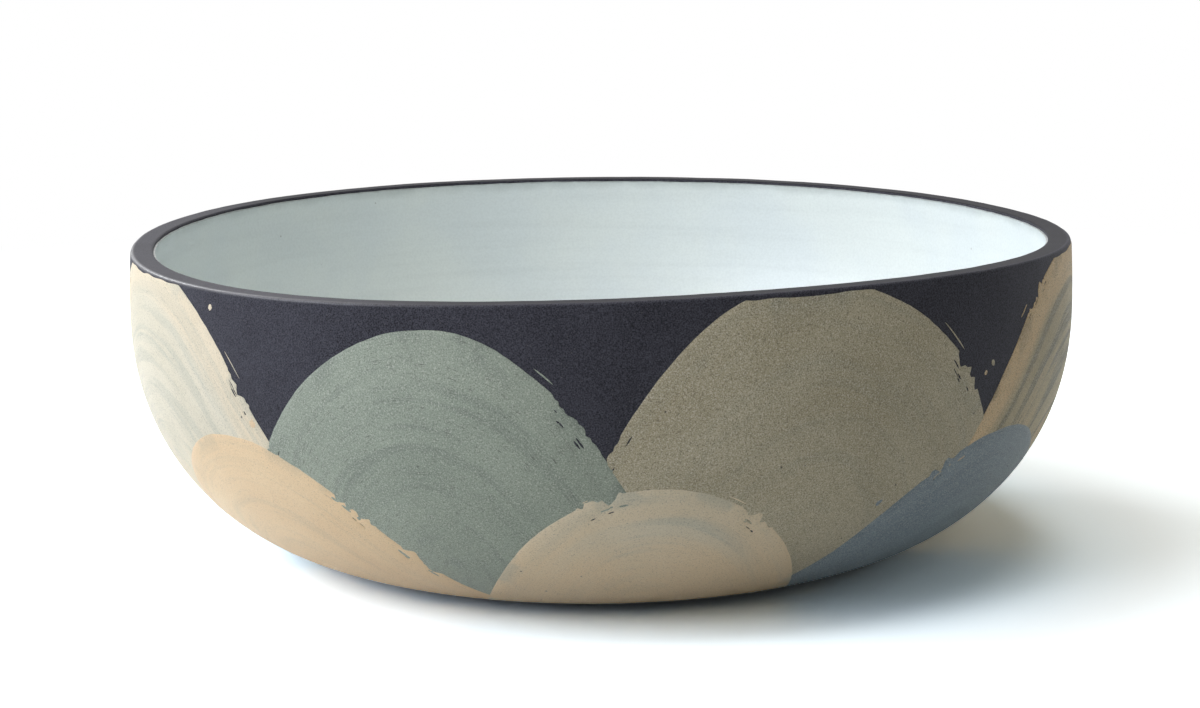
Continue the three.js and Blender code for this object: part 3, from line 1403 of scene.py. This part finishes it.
@dataclass(frozen=True)
class SlipFinish:
    """The finish of brushed slip: two tones, dry streaks, a thick band at the edge, scratches, grain.

    Sizes, the waver of the edge and foot, and their bands are in millimetres. A streak is its width,
    length and detail. A band runs from where a thing isn't to where it is whole.
    """

    coat: Coat
    grain_dark: Colour = srgb(74, 72, 66)
    grain_pale: Colour = srgb(250, 247, 236)
    speck: Colour = srgb(58, 56, 56)
    speck_spacing: float = 1.3
    speck_share: float = 0.005
    speck_strength: float = 0.85
    broad: tuple[float, float] = (9, 70)
    streak: tuple[float, float, float] = (2.6, 60, 3)
    bristle: tuple[float, float, float] = (0.75, 34, 3)
    scratch: tuple[float, float, float] = (0.14, 4.2, 0)
    grain_size: float = 0.29
    cloud_size: float = 15
    tone_band: Band = (0.35, 0.65)
    edge_waver: float = 9
    edge_band: Band = (10, 5)
    foot_waver: float = 40
    foot_band: Band = (44, 12)
    grain_break: float = 0.35
    streak_break: float = 0.5
    streak_band: Band = (0.47, 0.66)
    streak_cover: float = 0.85
    bristle_band: Band = (0.5, 0.72)
    bristle_cover: float = 0.7
    streak_thinning: float = 0.75
    crossed_thinning: float = 0.4
    bristle_thinning: float = 0.2
    patch_size: float = 11
    patch_band: Band = (0.5, 0.62)
    rim_break: float = 0.12
    rim_band: Band = (0.88, 1.0)
    rim_thinning: float = 0.45
    scratch_band: Band = (0.7, 0.76)
    scratched_size: float = 8
    scratched_band: Band = (0.5, 0.56)
    dark_band: Band = (0.01, 0.28)
    dark_share: float = 0.6
    pale_band: Band = (-0.01, -0.28)
    pale_share: float = 0.4
    grain_roughness: float = 0.14
    shine: float = 0.35
    streak_relief: float = 0.3
    fine_relief: float = 0.35
    relief: float = 0.03 * MM

    def material(self) -> bpy.types.Material:
        """Makes the material, with its streaks along the coat's own arcs.

        Returns:
            The material.
        """
        brushing: Brushing = self.coat.slip.value
        material, graph = new_material(f"{self.coat.node}_finish")
        point = graph.position()
        sweep = Sweep(graph, point, self.coat)
        streaks, bristles = sweep.noise(*self.streak), sweep.noise(*self.bristle)
        grain = graph.noise(point, self.grain_size, 2)
        colour, gathered = self._tones(sweep, point)
        speckled = (grain - 0.5) * self.grain_break
        dry = (streaks + speckled * self.streak_break).step(*self.streak_band)
        dry = dry * (1 - gathered * self.streak_cover)
        fine = (bristles + speckled).step(*self.bristle_band) * (1 - gathered * self.bristle_cover)
        thin = dry * self.streak_thinning + fine * dry * self.crossed_thinning
        thin = thin + fine * self.bristle_thinning
        colour = graph.mix(colour, brushing.thin, thin * brushing.streaks)
        patchy = graph.noise(point, self.patch_size, 2).step(*self.patch_band)
        thinned = (sweep.share + speckled * self.rim_break).step(*self.rim_band) * patchy
        colour = graph.mix(colour, brushing.thin, thinned * self.rim_thinning)
        scratched = graph.noise(point, self.scratched_size, 1).step(*self.scratched_band)
        lines = sweep.noise(*self.scratch).step(*self.scratch_band) * scratched
        colour = graph.mix(colour, self.speck, lines * brushing.scratches)
        uneven = (grain - 0.5) * brushing.grain
        colour = graph.mix(colour, self.grain_dark, uneven.step(*self.dark_band) * self.dark_share)
        colour = graph.mix(colour, self.grain_pale, uneven.step(*self.pale_band) * self.pale_share)
        specks = Specks(self.speck, self.speck_spacing, self.speck_share, self.speck_strength)
        relief = streaks * self.streak_relief + bristles * self.fine_relief + grain * self.fine_relief
        graph.surface({
            "Base Color": graph.speckled(colour, point, specks),
            "Roughness": brushing.roughness + (grain - 0.5) * self.grain_roughness,
            "Specular IOR Level": self.shine,
            "Normal": graph.bump(relief, self.relief),
        })
        return material

    def _tones(self, sweep: Sweep, point: bpy.types.NodeSocket) -> tuple[bpy.types.NodeSocket, Value]:
        """The slip's own tones, with its gathered tone along the edge and towards the foot.

        Args:
            sweep: the path of the brush.
            point: the point on the surface.

        Returns:
            The colour, and how thick the slip has gathered.
        """
        brushing: Brushing = self.coat.slip.value
        graph = sweep.graph
        broad = sweep.noise(*self.broad)
        cloud = graph.noise(point, self.cloud_size, 4)
        tone = broad.step(*self.tone_band) * 0.5 + cloud.step(*self.tone_band) * 0.5
        in_from_edge = (1 - sweep.share) * sweep.reach + (broad - 0.5) * self.edge_waver
        foot = (sweep.height + (broad - 0.5) * self.foot_waver).step(*self.foot_band)
        gathered = in_from_edge.step(*self.edge_band) * brushing.band
        gathered = gathered + (1 - gathered) * foot * brushing.foot
        colour = graph.mix(brushing.light, brushing.deep, tone)
        return graph.mix(colour, brushing.gathered, gathered), gathered


@dataclass(frozen=True)
class Hill:
    """One hill of a row: its slip, its azimuth in degrees, and its width and rise against the row's."""

    slip: Slip
    azimuth: float
    width: float
    rise: float


@dataclass
class SlipRow:
    """One row of hills round the bowl, listed in the order they are laid."""

    name: str
    half_width: float
    top: float
    centre_height: float
    first_level: int
    hills: Sequence[Hill]
    levels: Sequence[int] = (0, 0, 0, 1, 1, 1, 2)
    seeds_per_level: int = 40

    def coats(self) -> list[Coat]:
        """The row's coats in the order they are laid."""
        return [
            Coat(
                node=f"slip_{self.name}_{i + 1}_{hill.slip.name.lower()}",
                slip=hill.slip,
                azimuth=math.radians(hill.azimuth),
                half_width=self.half_width * hill.width,
                top=self.top * hill.rise,
                centre_height=self.centre_height,
                level=self.first_level + self.levels[i],
                seed=self.seeds_per_level * self.first_level + i + 1,
            )
            for i, hill in enumerate(self.hills)
        ]


TALL_ROW = SlipRow("tall", 52 * MM, 76 * MM, 14 * MM, 0, (
    Hill(Slip.TAUPE, 24, 1, 1.04),
    Hill(Slip.SAND, -66, 1.06, 1.06),
    Hill(Slip.SAGE, 126, 1, 0.96),
    Hill(Slip.SAGE, -20, 0.88, 0.94),
    Hill(Slip.KHAKI, 74, 1.08, 1.05),
    Hill(Slip.TAUPE, -122, 1.05, 1),
    Hill(Slip.SAND, 176, 1.05, 1.02),
))
LOW_ROW = SlipRow("low", 34 * MM, 41 * MM, 4 * MM, 3, (
    Hill(Slip.PEACH, -46, 1.15, 1.06),
    Hill(Slip.BLUE, 54, 1.2, 1),
    Hill(Slip.KHAKI, 150, 1.1, 1.05),
    Hill(Slip.SAND, 6, 0.98, 0.9),
    Hill(Slip.PEACH, 101, 1, 0.88),
    Hill(Slip.BLUE, -155, 1.1, 0.95),
    Hill(Slip.SAGE, -98, 1.12, 1),
))


@dataclass
class SlipDecoration:
    """All the coats of slip on the outside."""

    wall: ThrownWall
    rows: Sequence[SlipRow] = (TALL_ROW, LOW_ROW)

    def make(self) -> None:
        """Builds and dresses every coat."""
        coats = [coat for row in self.rows for coat in row.coats()]
        for i, coat in enumerate(coats):
            piece = coat.build(self.wall, coats[i + 1:])
            hand_in(piece, coat.node, SlipFinish(coat).material())


@dataclass(frozen=True)
class Window:
    """A wide soft light, like a window with a thin blind. Its place is given in degrees."""

    name: str
    azimuth: float
    elevation: float
    distance: float
    width: float
    height: float
    power: float
    tint: Colour

    def make(self, target_height: float) -> None:
        """Makes the lamp.

        Args:
            target_height: the height on the bowl's axis that it looks at.
        """
        data = bpy.data.lights.new(self.name, "AREA")
        data.shape = "RECTANGLE"
        data.size = self.width
        data.size_y = self.height
        data.energy = self.power
        data.color = self.tint
        lamp = bpy.data.objects.new(self.name, data)
        bpy.context.scene.collection.objects.link(lamp)
        turn, rise = math.radians(self.azimuth), math.radians(self.elevation)
        back = Vector((
            math.sin(turn) * math.cos(rise), -math.cos(turn) * math.cos(rise), math.sin(rise)
        ))
        lamp.location = Vector((0, 0, target_height)) + back * self.distance
        lamp.rotation_euler = (-back).to_track_quat("-Z", "Y").to_euler()


@dataclass
class Studio:
    """Camera, lights and the white floor."""

    distance: float = 0.7
    target_height: float = 0.045
    elevation: float = 0.181
    focal_px: float = 2820
    frame_px: float = 1200
    sensor: float = 36
    roll: float = 0.014
    right_px: float = 2.1
    down_px: float = 6.7
    windows: Sequence[Window] = (
        Window("window", -69, 26, 1.2, 1.2, 0.7, 10.9, (0.85, 0.885, 1.0)),
        Window("top_light", -80, 76, 1.3, 1.4, 1.4, 14, (1.0, 0.985, 0.955)),
        Window("back_window", -135, 27, 1.1, 0.3, 0.4, 3.0, (0.96, 0.98, 1.0)),
    )
    ambient: float = 0.13
    ambient_tint: Colour = (0.96, 0.98, 0.92)
    # Painted on the floor near the bowl, where its shadow lies: a bluer tint and a stronger lift that
    # colour and lighten the shade.
    shadow_zone_tint: Colour = (0.84, 0.935, 1.0)
    floor_tint: Colour = (0.93, 0.97, 0.985)
    shadow_zone_boost: float = 1.5
    floor_boost: float = 0.75
    close_to: float = 0.105
    far_from: float = 0.14
    white_from: float = 0.32
    white_to: float = 0.6
    floor_light: Colour = srgb(196, 197, 197)
    floor_turns: int = 128
    floor_rings: Sequence[float] = (0.3, 1.0, 3.0, 12.0)
    floor_drop: float = 0.05 * MM
    floor_sharp_angle: float = 60

    def camera(self) -> None:
        """Makes the camera at the photograph's viewing angle."""
        data = bpy.data.cameras.new("camera")
        data.sensor_width = self.sensor
        data.lens = self.sensor * self.focal_px / self.frame_px
        data.shift_x = -self.right_px / self.frame_px
        data.shift_y = self.down_px / self.frame_px
        camera = bpy.data.objects.new("camera", data)
        bpy.context.scene.collection.objects.link(camera)
        back = Vector((0, -math.cos(self.elevation), math.sin(self.elevation)))
        tip = Matrix.Rotation(math.pi / 2 - self.elevation, 4, "X")
        turn = tip @ Matrix.Rotation(-self.roll, 4, "Z")
        target = Vector((0, 0, self.target_height))
        camera.matrix_world = Matrix.Translation(target + back * self.distance) @ turn
        bpy.context.scene.camera = camera

    @staticmethod
    def seen(graph: Graph) -> Value:
        """Tells rays that show the background itself or its reflection from rays that light.

        Args:
            graph: the graph of the floor's material or the world.

        Returns:
            1 for rays that show it, 0 for rays that light.
        """
        path = graph.add("ShaderNodeLightPath")
        shown = Value(graph, path.outputs["Is Camera Ray"]) + Value(graph, path.outputs["Is Glossy Ray"])
        return (shown + Value(graph, path.outputs["Is Transmission Ray"])).step(0, 1)

    def world(self) -> None:
        """Makes the world: white where it is seen, softer where it lights."""
        world = bpy.data.worlds.new("studio")
        bpy.context.scene.world = world
        graph = Graph(world)
        lighting = graph.add(
            "ShaderNodeBackground", None, {"Color": self.ambient_tint, "Strength": self.ambient}
        )
        backdrop = graph.add("ShaderNodeBackground", None, {"Color": (1, 1, 1), "Strength": 1})
        mixed = graph.add("ShaderNodeMixShader", None, {
            0: self.seen(graph), 1: lighting.outputs[0], 2: backdrop.outputs[0],
        })
        graph.add("ShaderNodeOutputWorld", None, {"Surface": mixed.outputs[0]})

    @staticmethod
    def paper(graph: Graph, tint: Colour, boost: float) -> bpy.types.NodeSocket:
        """The floor's own surface, bright enough to show white where the full light falls on it.

        Args:
            graph: the floor's graph.
            tint: its colour.
            boost: how much is added on top, as a share of its colour.

        Returns:
            The shader.
        """
        base = graph.add("ShaderNodeBsdfDiffuse", None, {"Color": tint})
        boosted = tuple(boost * channel for channel in tint)
        more = graph.add("ShaderNodeBsdfDiffuse", None, {"Color": boosted})
        both = graph.add("ShaderNodeAddShader", None, {0: base.outputs[0], 1: more.outputs[0]})
        return both.outputs[0]

    def floor_piece(self) -> bpy.types.Object:
        """Makes the floor's mesh, a wide disc just under the bowl.

        Returns:
            The object.
        """
        turns = self.floor_turns
        azimuth = np.linspace(0, FULL_TURN, turns, endpoint=False)
        circle = np.stack([np.cos(azimuth), np.sin(azimuth), np.zeros(turns)], -1)
        rings = [radius * circle for radius in self.floor_rings]
        points = np.concatenate([[[0, 0, 0]], *rings]) - np.array([0, 0, self.floor_drop])
        faces = [(0, 1 + i, 1 + (i + 1) % turns) for i in range(turns)]
        for ring in range(len(rings) - 1):
            low, high = 1 + ring * turns, 1 + (ring + 1) * turns
            for i in range(turns):
                after = (i + 1) % turns
                faces.append((low + i, high + i, high + after, low + after))
        return new_piece("floor", points, faces, self.floor_sharp_angle)

    def floor(self) -> None:
        """Makes the floor, which shows white and keeps the bowl's shadow, painted bluer and lighter near
        the bowl.
        """
        floor = self.floor_piece()
        material, graph = new_material("white_floor")
        radius = graph.radius(graph.position())
        away = radius.step(self.white_from / MM, self.white_to / MM)
        lit = graph.add("ShaderNodeBsdfDiffuse", None, {"Color": self.floor_light})
        # Near the bowl the floor is painted bluer and lighter, tinting and lifting its shadow.
        near = graph.add("ShaderNodeMixShader", None, {
            0: radius.step(self.close_to / MM, self.far_from / MM),
            1: self.paper(graph, self.shadow_zone_tint, self.shadow_zone_boost),
            2: self.paper(graph, self.floor_tint, self.floor_boost),
        })
        white = graph.add("ShaderNodeEmission", None, {"Color": (1, 1, 1), "Strength": 1})
        shown = graph.add("ShaderNodeMixShader", None, {0: away, 1: near.outputs[0], 2: white.outputs[0]})
        mixed = graph.add("ShaderNodeMixShader", None, {
            0: self.seen(graph), 1: lit.outputs[0], 2: shown.outputs[0],
        })
        graph.add("ShaderNodeOutputMaterial", None, {"Surface": mixed.outputs[0]})
        floor.data.materials.append(material)

    def make(self) -> None:
        """Sets up the studio."""
        bpy.context.scene.view_settings.view_transform = "Standard"
        self.camera()
        self.world()
        self.floor()
        for window in self.windows:
            window.make(self.target_height)
        log.info("studio: camera, world, floor and %d lamps", len(self.windows))


def main() -> None:
    """Builds the bowl and the studio in order."""
    logging.basicConfig(level=logging.INFO, format="%(name)s: %(message)s")
    wall = ThrownWall()
    inside = Inside(wall)
    Studio().make()
    ClayBody(wall, inside).make()
    GlazeLining(wall, inside).make()
    SlipDecoration(wall).make()


if __name__ == "__main__":
    main()
